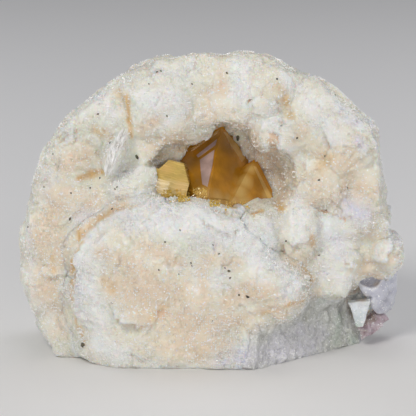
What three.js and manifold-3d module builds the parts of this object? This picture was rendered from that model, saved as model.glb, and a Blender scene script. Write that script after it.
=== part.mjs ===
// Powellite crystals in a pocket of stilbite, with apophyllite at the foot: one mineral specimen.
// Millimetres, +Z up. The front faces -Y and the specimen stands on its flat cut base.
// The origin is at the bottom centre of the whole specimen.

import * as THREE from 'three';
import { mergeVertices } from 'three/addons/utils/BufferGeometryUtils.js';
import Module from 'manifold-3d';

const wasm = await Module();
wasm.setup();

// Driving dimensions
const HEIGHT = 63.5;
const GAP = 0.3;

// The powellite axis leans to the right and a little back, and one corner points at the viewer.
const LEAN_RIGHT = 14;
const LEAN_BACK = 7;
// Half height over half width of the eight-sided powellite form, from its lattice (c / 2a).
const POWELLITE_RATIO = 1.094;

// Outline of the stilbite seen from the front, X and Z, anticlockwise from the right foot.
const OUTLINE = [
  [27, -7], [30.5, 1.5], [34.5, 6.5], [36.8, 11], [37.4, 16], [37.2, 22], [36.8, 29], [36.2, 34],
  [34.9, 38.4], [35.2, 41], [34.4, 44], [34.2, 46.8], [30, 51.4], [25.8, 54.8], [19, 58.8], [14, 60],
  [11.4, 62.2], [2.2, 63], [-6, 62.3], [-14, 60.3], [-19, 57.2], [-24.6, 53.3], [-29.6, 49.2],
  [-33.4, 44.2], [-35.7, 38.6], [-38.4, 29.3], [-40, 21], [-39.5, 16], [-38, 9.7], [-36.2, 4.9],
  [-33, 0], [-28, -6], [0, -9],
];
const MAIN_MASS = {
  outline: OUTLINE, centre: [0, 27], front: [-9.5, -5.5], rim: [0, 0], back: [21, 15], round: 0.55,
  around: 46, across: 10,
};
// The lobes stand out in front of the main mass, but hardly past its outline.
const LOBE_LIMIT = { ...MAIN_MASS, front: [-26, -24], back: [30, 26], across: 8 };
const LOBE_SPREAD = 0.4;

// Rounded aggregates of stilbite on the main mass. at and radii are X, Y, Z; tilt turns about Y.
const LOBES = [
  { at: [-24, 4, 49.5], radii: [9.6, 12, 10.5], tilt: 35 },
  { at: [-10.6, 4, 52], radii: [12, 12.6, 9.6], tilt: 0 },
  { at: [9.8, 4.4, 54.4], radii: [10.4, 11.6, 8.6], tilt: 0 },
  { at: [26.4, 4, 47.2], radii: [11, 13, 13], tilt: -30 },
  { at: [14.6, 0, 46.6], radii: [7.6, 8.6, 5], tilt: 14 },
  { at: [23, 3.5, 35.6], radii: [8.6, 12, 9.4], tilt: 0 },
  { at: [33, 4, 35], radii: [6.6, 12, 9.6], tilt: 0 },
  { at: [-28.5, 3, 40.5], radii: [9.6, 10.4, 6.6], tilt: -30 },
  { at: [-17, -0.5, 35.6], radii: [6.8, 10, 5.8], tilt: -15 },
  { at: [-26, 2, 33], radii: [11.5, 11.4, 6], tilt: 12 },
  { at: [-32.6, 2, 25], radii: [8, 12.5, 9.8], tilt: 0 },
  { at: [-25.6, 0, 25.5], radii: [8, 10.6, 7.4], tilt: 30 },
  { at: [-33.4, 2, 15], radii: [8.4, 13.4, 8.8], tilt: 0 },
  { at: [-28.8, -1.2, 5], radii: [9.2, 9.5, 9.4], tilt: 0 },
  { at: [-10, 9, 42], radii: [6.5, 8, 5], tilt: 30 },
  { at: [9.1, -4, 26.5], radii: [7, 10.5, 5.8], tilt: -10 },
  { at: [17.6, -2, 26.6], radii: [5.4, 10, 7.4], tilt: 0 },
  { at: [25, 2.4, 20.6], radii: [8.6, 11, 10], tilt: 0 },
  { at: [29.2, 0.5, 28.8], radii: [6.4, 10, 5.6], tilt: 0 },
  { at: [34.8, 3, 27], radii: [4.2, 9, 5], tilt: 0 },
  { at: [34.6, 6, 18], radii: [4.6, 9, 9], tilt: 0 },
];
const BIG_LOBE = 9;
// Below 1, lumps swell from ellipsoids towards rounded boxes.
const LUMP_SQUARE = 0.84;
// How uneven a lump is, in parts of its radius, and the waves that make it so.
const LUMP_BASE = 0.98;
const LUMP_WAVE = { share: 0.05, alongX: 3.1, alongZ: 2.7 };
const LUMP_SWELL = { share: 0.03, alongX: 2.2, alongY: 4.3 };
// How tightly an outline's curve follows its corners, its samples, and how flat a face bulges.
const CURVE_TENSION = 0.35;
const CURVE_SAMPLES = 360;
const FACE_POWER = 0.8;

// A thin snow-white aggregate and a small fan at the right edge, both with radiating ribs.
const BLADE = { at: [-19.3, -5.6, 43.7], radii: [1.9, 6, 5.1], tilt: 25, ribs: 8, ribDepth: 0.12 };
const EDGE_FAN = { at: [36.6, 1, 20.9], radii: [3.6, 8, 4], tilt: 0, ribs: 12, ribDepth: 0.1 };

// The pocket that holds the powellite, and the hollow behind the apophyllite at the lower right.
const POCKET = { at: [2, -9, 37.8], radii: [15.5, 17.5, 12], tilt: -5 };
const POCKET_SIDE = { at: [-8.4, -8, 37.6], radii: [8.6, 14, 5.6], tilt: -30 };
const FOOT_HOLLOW = { at: [34, -5, 10], radii: [5.5, 9, 7], tilt: 0 };

// The stilbite dome in front of the pocket: its outline, X and Z, and the lumps on its face.
const DOME_OUTLINE = [
  [9.5, -7], [10, 3], [13, 8], [17.5, 10.5], [20.4, 13.4], [19, 17.8], [15.5, 22], [11.3, 25],
  [7.5, 28.6], [2, 32.2], [-3, 33.8], [-9, 34.2], [-16, 32.8], [-21.5, 29.8], [-25.8, 24.8],
  [-28, 20], [-29.2, 14], [-29.3, 8], [-26, 2], [-25.5, -6],
];
const DOME = {
  outline: DOME_OUTLINE, centre: [-5, 13], front: [-12.5, -11], rim: [-6, -7.5], back: [14, 12], round: 0.6,
  around: 34, across: 10,
};
const DOME_LUMPS = [
  { at: [-22.5, -8, 23], radii: [7.4, 7.6, 7], tilt: -35 },
  { at: [-13, -9, 27.4], radii: [10, 8, 7], tilt: -8 },
  { at: [-1.5, -9.4, 26.6], radii: [9.6, 8.2, 7], tilt: 14 },
  { at: [6.2, -10, 21.4], radii: [8, 7.8, 6.6], tilt: 38 },
  { at: [-24.2, -7, 13.6], radii: [6.4, 8.6, 9], tilt: 0 },
  { at: [-18.4, -7, 4.4], radii: [9.4, 9.2, 7.4], tilt: 0 },
  { at: [-8, -9, 3.8], radii: [9.4, 10, 7.6], tilt: 0 },
  { at: [1.6, -9.4, 4.2], radii: [8.8, 9.4, 7.2], tilt: 0 },
  { at: [-1, -11.6, 15.6], radii: [11, 7.4, 6.4], tilt: -30 },
];
const DOME_WING = { at: [11.5, -9, 17], radii: [9.6, 10.4, 6.2], tilt: 28, ribs: 10, ribDepth: 0.07 };
const DOME_HOLLOW = { at: [8, -21.5, 9.4], radii: [10, 5, 3.4], tilt: -24 };

// Powellite individuals grown parallel: apex point and half width of each.
const MAIN_STEPS = [
  { apex: [2.6, 6, 47], half: 13.4 },
  { apex: [4.7, 7.6, 45], half: 13.3 },
  { apex: [6.8, 8.8, 43.2], half: 13.2 },
  { apex: [2, 5.7, 45.5], half: 12.4 },
  { apex: [1.7, 5.3, 43.9], half: 11.4 },
];
const ROOT_DEPTH = 11;
const RIGHT_CRYSTAL = { apex: [9.2, 3.6, 39.7], half: 8.4, spin: -21 };
const RIGHT_STEP = { apex: [9.9, 4.6, 39.2], half: 8.4, spin: -21 };
const FOOT_CRYSTAL = { apex: [4.4, -6.6, 32.3], half: 2.2, spin: 15 };
// Blunt individuals: the point is cut off at a share of the half width, and upright
// faces cut the equator off at the belt's half width.
const LEFT_CRYSTALS = [
  { apex: [-6.4, -1.6, 42.8], half: 7.6, blunt: 0.3, spin: 38, belt: 5.5 },
  { apex: [-10, -3.4, 41], half: 4.8, blunt: 0.35, spin: 46, belt: 3.4 },
  { apex: [-7.6, -6.2, 34.6], half: 2.4, blunt: 0.2, spin: 30 },
];

// Apophyllite block at the foot: its plan, X and Y, and the striations down its front faces.
const BLOCK_PLAN = [[2, -15], [9, -18.4], [31.8, 1.2], [30.4, 8], [12, 8], [2, -4]];
const BLOCK_HEIGHT = 14.5;
const BLOCK_LEAN = 0.16;
const BLOCK_TOP_SLOPE = 0.12;
const STRIATION_PITCH = 1.9;
const STRIATION_DEPTH = 0.35;

// Loose-looking white apophyllite chip on the block, X and Z, and its place in depth.
const CHIP_OUTLINE = [[28.8, 10.6], [33.8, 11], [32.8, 7.2], [32.2, 5.2], [30.6, 5.2], [29.8, 8.2]];
const CHIP_FRONT = -4.4;
const CHIP_THICKNESS = 2.6;

// Pearly broken shell at the right: its outline, X and Z, and the rounded body that it is cut from.
const SHELL_OUTLINE = [
  [30.6, 18.8], [38.4, 18.6], [40.6, 15], [39.4, 8.6], [38, 6], [35.2, 6.8], [33, 10.6], [31.2, 13.4],
];
const SHELL_BODY = { at: [32, 6, 13.5], radii: [8, 8.6, 11], tilt: 0 };
const SHELL_HOLLOW = { at: [33.6, -2.2, 15.6], radii: [2.6, 2.4, 2.2], tilt: 30 };
// Small pink blades below the shell: apex point, half width and spin.
const PINK_BLADES = [
  { apex: [33.4, 1.2, 6.6], half: 3, blunt: 0.3, spin: 20 },
  { apex: [35.6, 2.4, 7.4], half: 2.8, blunt: 0.3, spin: 50 },
  { apex: [36.6, 4, 8], half: 2.6, blunt: 0.35, spin: 5 },
];

// Broken faces at the back: the direction that each faces and its distance from the middle.
const BROKEN_FACES = [
  { facing: [0.1, 1, 0.12], distance: 19.5 },
  { facing: [-0.75, 1, 0.1], distance: 31 },
  { facing: [0.8, 1, -0.05], distance: 30 },
  { facing: [-0.15, 1, 0.95], distance: 38.5 },
  { facing: [0.45, 1, 0.8], distance: 37.5 },
];
const MIDDLE = [0, 0, 24];

// A closed geometry as a solid that can be joined and cut.
function solid(geometry) {
  const bare = geometry.clone();
  bare.deleteAttribute('normal');
  bare.deleteAttribute('uv');
  const merged = mergeVertices(bare, 1e-4);
  const shape = new wasm.Mesh({
    numProp: 3,
    vertProperties: new Float32Array(merged.attributes.position.array),
    triVerts: new Uint32Array(merged.index.array),
  });
  return new wasm.Manifold(shape);
}

function union(solids) {
  return solids.reduce((joined, next) => joined.add(next));
}

// Cutting can leave crumbs: only the biggest piece is kept.
function biggest(shape) {
  const pieces = shape.decompose();
  return pieces.reduce((best, piece) => (piece.volume() > best.volume() ? piece : best));
}

function mesh(name, shape, look) {
  const { vertProperties, triVerts } = shape.getMesh();
  const geometry = new THREE.BufferGeometry();
  geometry.setAttribute('position', new THREE.BufferAttribute(vertProperties, 3));
  geometry.setIndex(new THREE.BufferAttribute(triVerts, 1));
  geometry.computeVertexNormals();
  const made = new THREE.Mesh(geometry, new THREE.MeshStandardMaterial(look));
  made.name = name;
  return made;
}

function reshape(geometry, move) {
  const position = geometry.attributes.position;
  const point = new THREE.Vector3();
  for (let i = 0; i < position.count; i += 1) {
    point.fromBufferAttribute(position, i);
    move(point);
    position.setXYZ(i, point.x, point.y, point.z);
  }
  return geometry;
}

// A rounded lump with a slightly uneven surface and, if asked, ribs fanning out about the Y axis.
function lump({ at, radii, tilt, ribs = 0, ribDepth = 0 }, grow = 0, detail = 3) {
  const geometry = new THREE.IcosahedronGeometry(1, detail);
  const [x0, y0, z0] = at;
  reshape(geometry, (p) => {
    const waves = Math.sin(LUMP_WAVE.alongX * p.x + x0) * Math.sin(LUMP_WAVE.alongZ * p.z + z0);
    const swell = Math.sin(LUMP_SWELL.alongY * p.y + LUMP_SWELL.alongX * p.x + y0 + x0);
    const fan = ribDepth * Math.abs(Math.cos(ribs * 0.5 * Math.atan2(p.z, p.x)));
    p.multiplyScalar(LUMP_BASE + LUMP_WAVE.share * waves + LUMP_SWELL.share * swell + fan);
    const boxy = p.toArray().map((c) => Math.sign(c) * Math.abs(c) ** LUMP_SQUARE);
    p.fromArray(boxy.map((c, i) => c * (radii[i] + grow)));
  });
  geometry.rotateY(THREE.MathUtils.degToRad(tilt));
  geometry.translate(x0, y0, z0);
  return solid(geometry);
}

// A box that keeps everything on one side of a plane, used to cut flat faces.
function halfSpace(facing, distance) {
  const size = 200;
  const geometry = new THREE.BoxGeometry(size, size, size);
  const direction = new THREE.Vector3(...facing).normalize();
  const turn = new THREE.Quaternion().setFromUnitVectors(new THREE.Vector3(0, 0, 1), direction);
  geometry.translate(0, 0, distance + size / 2);
  geometry.applyQuaternion(turn);
  geometry.translate(...MIDDLE);
  return solid(geometry);
}

// Distance from a centre to a closed outline, in the direction of an angle.
function reachOf(outline, [cx, cz]) {
  const corners = outline.map(([x, z]) => new THREE.Vector3(x, z, 0));
  const curve = new THREE.CatmullRomCurve3(corners, true, 'catmullrom', CURVE_TENSION);
  const samples = curve.getSpacedPoints(CURVE_SAMPLES).map((p) => ({
    angle: Math.atan2(p.y - cz, p.x - cx),
    reach: Math.hypot(p.x - cx, p.y - cz),
  }));
  samples.sort((a, b) => a.angle - b.angle);
  return (angle) => {
    const after = samples.findIndex((s) => s.angle >= angle);
    const b = samples[after < 0 ? 0 : after];
    const a = samples[after <= 0 ? samples.length - 1 : after - 1];
    const span = (b.angle - a.angle + 2 * Math.PI) % (2 * Math.PI);
    const along = (angle - a.angle + 2 * Math.PI) % (2 * Math.PI);
    return span > 0 ? a.reach + ((b.reach - a.reach) * along) / span : a.reach;
  };
}

// A flattened ball whose rim follows an outline. front, rim and back are depths at foot and top.
function pillow({ outline, centre, front, rim, back, round, around, across }, grow = 0) {
  const reach = reachOf(outline, centre);
  const geometry = new THREE.SphereGeometry(1, around, across);
  reshape(geometry, (p) => {
    const angle = Math.atan2(p.z, p.x);
    const out = Math.hypot(p.x, p.z) ** round * (reach(angle) + grow);
    const x = centre[0] + out * Math.cos(angle);
    const z = centre[1] + out * Math.sin(angle);
    const share = THREE.MathUtils.clamp(z / HEIGHT, 0, 1);
    const side = p.y < 0 ? front : back;
    const full = THREE.MathUtils.lerp(side[0], side[1], share) + Math.sign(p.y) * grow;
    p.set(x, THREE.MathUtils.lerp(rim[0], rim[1], share) + Math.abs(p.y) ** FACE_POWER * full, z);
  });
  return solid(geometry);
}

// One powellite individual: a four-sided double pyramid, given by the point of its apex.
function dipyramid({ apex, half, spin = 0, blunt = 0, belt = half }, grow = 0) {
  const width = half + grow;
  const height = width * POWELLITE_RATIO;
  const profile = [new THREE.Vector2(0, -height)];
  if (belt < half) {
    const shoulder = height * (1 - (belt + grow) / width);
    profile.push(new THREE.Vector2(belt + grow, -shoulder));
    profile.push(new THREE.Vector2(belt + grow, shoulder));
  } else {
    profile.push(new THREE.Vector2(width, 0));
  }
  if (blunt > 0) {
    profile.push(new THREE.Vector2(width * blunt, height * (1 - blunt)));
    profile.push(new THREE.Vector2(0, height * (1 - blunt)));
  } else {
    profile.push(new THREE.Vector2(0, height));
  }
  const geometry = new THREE.LatheGeometry(profile, 4);
  geometry.rotateX(Math.PI / 2);
  geometry.rotateZ(THREE.MathUtils.degToRad(spin));
  geometry.translate(0, 0, -half * POWELLITE_RATIO);
  geometry.rotateX(THREE.MathUtils.degToRad(-LEAN_BACK));
  geometry.rotateY(THREE.MathUtils.degToRad(LEAN_RIGHT));
  geometry.translate(...apex);
  return solid(geometry);
}

// The powellite is rooted in the stilbite and ends inside it, at this depth.
function rooted(shape, grow) {
  const behind = new THREE.BoxGeometry(200, 100, 200).translate(0, ROOT_DEPTH + grow + 50, 0);
  return shape.subtract(solid(behind));
}

function mainPowellite(grow = 0) {
  const individuals = [...MAIN_STEPS, RIGHT_CRYSTAL, RIGHT_STEP, FOOT_CRYSTAL];
  return rooted(union(individuals.map((one) => dipyramid(one, grow))), grow);
}

function leftPowellite(grow = 0) {
  return union(LEFT_CRYSTALS.map((one) => dipyramid(one, grow)));
}

function dome(grow = 0) {
  const lumps = [...DOME_LUMPS, DOME_WING].map((one) => lump(one, grow));
  return union([pillow(DOME, grow), ...lumps]).subtract(lump(DOME_HOLLOW, -grow));
}

// An outline of Vector2 points, anticlockwise, moved outwards by a distance.
function offset(outline, distance) {
  const normals = outline.map((p, i) => {
    const along = outline[(i + 1) % outline.length].clone().sub(p).normalize();
    return new THREE.Vector2(along.y, -along.x);
  });
  return outline.map((p, i) => {
    const before = normals[(i + outline.length - 1) % outline.length];
    const after = normals[i];
    const away = before.clone().add(after).multiplyScalar(distance / (1 + before.dot(after)));
    return p.clone().add(away);
  });
}

// Points along one side of the block, zigzagging in and out where the side is striated.
function striatedSide([x1, y1], [x2, y2]) {
  const length = Math.hypot(x2 - x1, y2 - y1);
  const count = 2 * Math.round(length / STRIATION_PITCH);
  const inward = [-(y2 - y1) / length, (x2 - x1) / length];
  return Array.from({ length: count }, (_, i) => {
    const dip = (i % 2) * STRIATION_DEPTH * (1 + 0.6 * Math.sin(i * 1.7));
    const share = i / count;
    return new THREE.Vector2(
      x1 + (x2 - x1) * share + inward[0] * dip,
      y1 + (y2 - y1) * share + inward[1] * dip,
    );
  });
}

// The block leans back, and its top slopes down to the right.
function leanBlock(geometry) {
  return reshape(geometry, (p) => {
    const top = p.z > 1 ? 1 : 0;
    p.y += BLOCK_LEAN * p.z;
    p.z -= top * BLOCK_TOP_SLOPE * (p.x - BLOCK_PLAN[1][0]);
  });
}

function block(grow = 0) {
  const [p0, p1, p2, ...rest] = BLOCK_PLAN;
  const outline = [
    ...striatedSide(p0, p1),
    ...striatedSide(p1, p2),
    ...[p2, ...rest].map(([x, y]) => new THREE.Vector2(x, y)),
  ];
  const shape = new THREE.Shape(offset(outline, grow));
  const depth = BLOCK_HEIGHT + 2 * grow;
  const geometry = new THREE.ExtrudeGeometry(shape, { depth, bevelEnabled: false });
  geometry.translate(0, 0, -grow);
  return solid(leanBlock(geometry));
}

// A slab between two depths, with an outline given clockwise as X and Z.
function slab(outline, front, back, grow = 0) {
  const points = offset(outline.map(([x, z]) => new THREE.Vector2(x, -z)), grow);
  const depth = back - front + 2 * grow;
  const geometry = new THREE.ExtrudeGeometry(new THREE.Shape(points), { depth, bevelEnabled: false });
  geometry.rotateX(-Math.PI / 2);
  geometry.translate(0, front - grow, 0);
  return solid(geometry);
}

function chip(grow = 0) {
  return slab(CHIP_OUTLINE, CHIP_FRONT, CHIP_FRONT + CHIP_THICKNESS, grow);
}

function shell(grow = 0) {
  const body = lump(SHELL_BODY, grow).intersect(slab(SHELL_OUTLINE, -12, 9, grow));
  return body.subtract(lump(SHELL_HOLLOW, -grow, 3));
}

function pinkBlades(grow = 0) {
  return union(PINK_BLADES.map((one) => dipyramid(one, grow)));
}

// The space in front of the block's striated face, which the stilbite leaves free.
function footSpace() {
  const [, p1, p2] = BLOCK_PLAN;
  const plan = [p1, p2, [60, p2[1]], [60, -40], [p1[0], -40]];
  const shape = new THREE.Shape(plan.map(([x, y]) => new THREE.Vector2(x, y)));
  const geometry = new THREE.ExtrudeGeometry(shape, { depth: BLOCK_HEIGHT + 2, bevelEnabled: false });
  geometry.translate(0, 1, -2);
  return solid(leanBlock(geometry));
}

function matrix() {
  const hollowed = pillow(MAIN_MASS)
    .subtract(lump(POCKET))
    .subtract(lump(POCKET_SIDE))
    .subtract(footSpace());
  const lobes = LOBES.map((one) => lump(one, 0, one.radii[0] > BIG_LOBE ? 4 : 3));
  const limit = pillow(LOBE_LIMIT, LOBE_SPREAD);
  let shape = union([hollowed, ...lobes]).intersect(limit);
  shape = union([shape, lump(BLADE, 0, 3), lump(EDGE_FAN)]).subtract(lump(FOOT_HOLLOW));
  for (const { facing, distance } of BROKEN_FACES) {
    shape = shape.subtract(halfSpace(facing, distance));
  }
  return shape;
}

const below = solid(new THREE.BoxGeometry(300, 300, 100).translate(0, 0, -50));
const main = mainPowellite();
const left = leftPowellite().subtract(mainPowellite(GAP));
const front = dome().subtract(mainPowellite(GAP)).subtract(leftPowellite(GAP));
const loose = chip().subtract(dome(GAP));
const foot = block().subtract(dome(GAP)).subtract(chip(GAP));
const pearly = shell().subtract(block(5 * GAP)).subtract(chip(GAP));
const pink = pinkBlades().subtract(shell(GAP)).subtract(block(5 * GAP)).subtract(chip(GAP));
const ground = [dome, mainPowellite, leftPowellite, block, chip, shell, pinkBlades]
  .reduce((shape, cutter) => shape.subtract(cutter(GAP)), matrix());

const STILBITE = { color: 0xe4dfd2, roughness: 0.6, metalness: 0 };
const PEACH = { color: 0xe6d9c9, roughness: 0.6, metalness: 0 };
const AMBER = { color: 0x9a6a1c, roughness: 0.15, metalness: 0 };
const GOLD = { color: 0xc2a052, roughness: 0.25, metalness: 0 };
const GREENISH = { color: 0xbfc4b6, roughness: 0.45, metalness: 0 };
const SNOW = { color: 0xdde2e4, roughness: 0.4, metalness: 0 };
const PEARL = { color: 0xc6c2cf, roughness: 0.4, metalness: 0 };
const PINK = { color: 0xc6a6b2, roughness: 0.4, metalness: 0 };

const pieces = [
  mesh('stilbite_matrix', biggest(ground.subtract(below)), STILBITE),
  mesh('front_dome', biggest(front.subtract(below)), PEACH),
  mesh('powellite_main', biggest(main), AMBER),
  mesh('powellite_left', biggest(left), GOLD),
  mesh('apophyllite_block', biggest(foot.subtract(below)), GREENISH),
  mesh('apophyllite_chip', biggest(loose), SNOW),
  mesh('pearly_shell', biggest(pearly), PEARL),
  mesh('pink_blades', biggest(pink), PINK),
];

const specimen = new THREE.Group();
specimen.add(...pieces);
const box = new THREE.Box3().setFromObject(specimen);
const centre = box.getCenter(new THREE.Vector3());
specimen.position.set(-centre.x, -centre.y, -box.min.z);
specimen.updateMatrixWorld(true);

export default specimen;
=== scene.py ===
# %% [markdown]
# # Powellite in a pocket of stilbite
#
# A mineral specimen is one rock with several kinds of surface on it: a crust of tiny
# sparkling crystals, flat-faced see-through crystals, and cleaved, pearly faces.
# The shapes at their real size come from a fixed model. This lesson gives each one its
# surface: relief first, then loose grains, then the materials, and last the light.

# %% Load the fixed model
import math
import random

import bmesh
import bpy
import numpy
from mathutils import Matrix, Vector, noise
from mathutils.bvhtree import BVHTree


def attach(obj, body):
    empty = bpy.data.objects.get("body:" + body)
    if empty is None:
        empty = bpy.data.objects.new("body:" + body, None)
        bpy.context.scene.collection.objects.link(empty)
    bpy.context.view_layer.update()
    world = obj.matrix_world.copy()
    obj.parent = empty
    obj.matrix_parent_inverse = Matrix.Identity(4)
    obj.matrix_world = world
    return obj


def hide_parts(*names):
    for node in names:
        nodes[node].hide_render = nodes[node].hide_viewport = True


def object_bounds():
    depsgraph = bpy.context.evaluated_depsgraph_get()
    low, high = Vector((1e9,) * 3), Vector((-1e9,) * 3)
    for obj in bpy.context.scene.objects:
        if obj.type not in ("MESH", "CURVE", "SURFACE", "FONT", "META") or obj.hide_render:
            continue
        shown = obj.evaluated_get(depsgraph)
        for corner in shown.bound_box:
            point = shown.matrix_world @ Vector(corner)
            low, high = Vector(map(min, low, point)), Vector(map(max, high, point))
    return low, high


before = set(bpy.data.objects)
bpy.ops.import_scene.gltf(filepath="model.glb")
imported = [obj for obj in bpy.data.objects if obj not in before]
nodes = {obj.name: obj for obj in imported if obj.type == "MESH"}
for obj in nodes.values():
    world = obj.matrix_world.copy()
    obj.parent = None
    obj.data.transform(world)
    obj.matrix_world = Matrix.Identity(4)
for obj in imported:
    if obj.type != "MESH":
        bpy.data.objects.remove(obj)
cad_low, cad_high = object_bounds()
MM = 0.001
SEED = 7
noise.seed_set(SEED)
print("nodes:", sorted(nodes))
print("size in mm:", [round((b - a) / MM, 1) for a, b in zip(cad_low, cad_high)])

# %% [markdown]
# ## The camera
#
# The specimen was seen a little from above through a long lens, so its sides hardly
# converge. The camera comes first because some details below are placed where a given
# point of the picture falls on the stone. A pixel is turned into a ray from the camera.

# %% Camera at the picture's viewing angle
PICTURE = 416
ELEVATION = math.radians(13)
DISTANCE = 0.480
PIXEL = 0.21 * MM
TARGET = Vector((-0.745, 0.255, 30.0)) * MM
SENSOR = 36.0

camera_data = bpy.data.cameras.new("camera")
camera_data.sensor_width = SENSOR
camera_data.lens = SENSOR * DISTANCE / (PICTURE * PIXEL)
camera_data.clip_end = 20
camera = bpy.data.objects.new("camera", camera_data)
bpy.context.collection.objects.link(camera)
towards_camera = Vector((0, -math.cos(ELEVATION), math.sin(ELEVATION)))
camera.location = TARGET + towards_camera * DISTANCE
camera.rotation_euler = (math.pi / 2 - ELEVATION, 0, 0)
bpy.context.scene.camera = camera
bpy.context.scene.view_settings.view_transform = "Standard"

right = Vector((1, 0, 0))
up = Vector((0, math.sin(ELEVATION), math.cos(ELEVATION)))


def ray_of(px, py):
    """Start and direction of the line of sight through a pixel of the picture."""
    across = (px - PICTURE / 2) * PIXEL
    down = (py - PICTURE / 2) * PIXEL
    aim = TARGET + right * across - up * down
    return camera.location, (aim - camera.location).normalized()


print("lens in mm:", round(camera_data.lens, 1))

# %% [markdown]
# ## Helpers that turn a plain solid into a workable skin
#
# The solids have few, uneven triangles. A voxel remesh lays an even net of small quads
# over a copy, which can then be smoothed and pushed in and out vertex by vertex.
# Subdividing instead would keep the long thin triangles of the cuts, and they would show
# as streaks. Sharp crystals don't go through this: they keep their flat faces.

# %% Copy, remesh and smooth
def shown(name, data):
    """A new object in the scene for a mesh or a lamp."""
    thing = bpy.data.objects.new(name, data)
    bpy.context.collection.objects.link(thing)
    return thing


def made_from(bm, name):
    """A new object from a finished bmesh, which is freed."""
    mesh = bpy.data.meshes.new(name)
    bm.to_mesh(mesh)
    bm.free()
    return shown(name, mesh)


def dress(piece, look):
    """Give a piece one material."""
    piece.data.materials.clear()
    piece.data.materials.append(look)


def merged_copy(node, name):
    """A new object with a copy of a node's mesh, its loose triangles joined."""
    mesh = nodes[node].data.copy()
    mesh.name = name
    bm = bmesh.new()
    bm.from_mesh(mesh)
    bmesh.ops.remove_doubles(bm, verts=bm.verts, dist=0.002 * MM)
    bm.to_mesh(mesh)
    bm.free()
    return shown(name, mesh)


def remeshed(piece, voxel):
    """Replace a piece's mesh by an even net of quads."""
    modifier = piece.modifiers.new("even net", "REMESH")
    modifier.mode = "VOXEL"
    modifier.voxel_size = voxel
    evaluated = piece.evaluated_get(bpy.context.evaluated_depsgraph_get())
    net = bpy.data.meshes.new_from_object(evaluated)
    piece.modifiers.clear()
    net.name = piece.name
    piece.data = net
    return piece


def smoothed(bm, verts, rounds):
    for _ in range(rounds):
        bmesh.ops.smooth_vert(bm, verts=verts, factor=0.5,
                              use_axis_x=True, use_axis_y=True, use_axis_z=True)


def kept_inside(point):
    """Clamp a point to the box of the fixed model, so that no relief makes it bigger."""
    for i in range(3):
        point[i] = min(max(point[i], cad_low[i]), cad_high[i])


FOOT = 0.25 * MM


def reshaped(piece, height_at, rounds):
    """Smooth a piece above its flat foot, then move each vertex along its normal."""
    bm = bmesh.new()
    bm.from_mesh(piece.data)
    free = [v for v in bm.verts if v.co.z > FOOT]
    smoothed(bm, free, rounds)
    bm.normal_update()
    moves = [v.normal * height_at(v.co, v.normal) for v in free]
    for vert, move in zip(free, moves):
        vert.co += move
        kept_inside(vert.co)
    for face in bm.faces:
        face.smooth = True
    bm.to_mesh(piece.data)
    bm.free()
    return piece


def measured(piece):
    print(piece.name, "has", len(piece.data.polygons), "faces")
    return piece


# %% [markdown]
# ## Closing the joints between pieces
#
# The fixed solids stand a hair apart, so that each is whole. On the real specimen they
# have grown against each other. So each skin swells by up to a millimetre where another
# solid is near, and the skins meet in a crease instead of a dark crack. Beside the
# powellite it swells less, so that the crystals keep their outline.

# %% Swelling near a neighbour
JOINT_REACH = 2.4 * MM
JOINT_SWELL = 1.0 * MM
POWELLITE_SWELL = 0.4 * MM
SWELL_RAMP = 1.7


def tree_of(*pieces):
    """A search tree of the faces of one or more objects."""
    bm = bmesh.new()
    for piece in pieces:
        bm.from_mesh(piece.data)
    tree = BVHTree.FromBMesh(bm)
    bm.free()
    return tree


solid_trees = {name: tree_of(node) for name, node in nodes.items()}


def joint_swell(place, neighbours, swell=JOINT_SWELL):
    """How far to swell at a place: full against a neighbour, nothing beyond the reach."""
    near = JOINT_REACH
    for node in neighbours:
        far = solid_trees[node].find_nearest(place, JOINT_REACH)[3]
        if far is not None:
            near = min(near, far)
    return swell * min(1.0, SWELL_RAMP * (1.0 - near / JOINT_REACH))


print("solids to measure from:", len(solid_trees))

# %% [markdown]
# ## The relief of stilbite
#
# Stilbite grows as sheaves that swell into rounded lumps. Up close each lump is a crust
# of blunt blades. Four layers build it: wide swells, tilted facets about six
# millimetres across, blades of two millimetres and a grain of half a millimetre. Each
# facet is a low cap that leans its own way, and the highest cap wins, so facets meet in
# straight creases as crystal faces do. The rim was broken clean: there it is weak.

# %% Relief functions
SWELL = 0.45 * MM
SWELL_WAVE = 8 * MM
FACET = (6.0 * MM, 1.25 * MM)
FACET_MEAN = 0.06
BLADE = (1.9 * MM, 0.38 * MM)
BLADE_MEAN = 0.05
DUST = (0.55 * MM, 0.07 * MM)
CAP_LEAN = 2.3
CAP_SEED = 7.31
RIM_SHARE = 0.2
PATCH_WAVE = 11 * MM


def caps(place, size, lean):
    """Height of a crust of tilted caps, in parts of the size of one cap."""
    here = place / size
    best = -1.0
    for middle in noise.voronoi(here)[1][:3]:
        away = here - middle
        tilt = noise.noise_vector(middle * CAP_SEED)
        best = max(best, lean * away.dot(tilt) - 0.5 * away.length_squared)
    return best


def roughness_at(place, normal):
    """1 where the crust faces the front, down to the rim's share on the sides."""
    facing = min(1.0, max(0.0, 0.45 - 1.6 * normal.y))
    patchy = 0.65 + 0.7 * noise.noise(place / PATCH_WAVE)
    return max(RIM_SHARE, facing * min(1.0, max(0.3, patchy)))


# %% [markdown]
# ### Fans of blades
#
# Where a sheaf was broken across, its blades show as ribs that spread from a root. Each
# fan is given by the pixel of its root and of its far end, its number of ribs and how
# wide it opens. The ribs are waves round the root that fade at the edges of the fan.

# %% Fans of blades
FANS = [
    ((128, 290), (76, 268), 17, 50), ((125, 330), (80, 322), 13, 34), ((150, 260), (112, 222), 11, 40),
    ((232, 306), (300, 276), 17, 34), ((215, 262), (262, 236), 11, 40), ((374, 264), (394, 246), 9, 46),
    ((292, 262), (300, 212), 9, 40), ((120, 180), (70, 150), 9, 40), ((330, 180), (372, 128), 11, 46),
    ((190, 325), (170, 366), 9, 60), ((105, 150), (90, 104), 9, 40),
]
RIB_HEIGHT = 0.3 * MM


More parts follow.
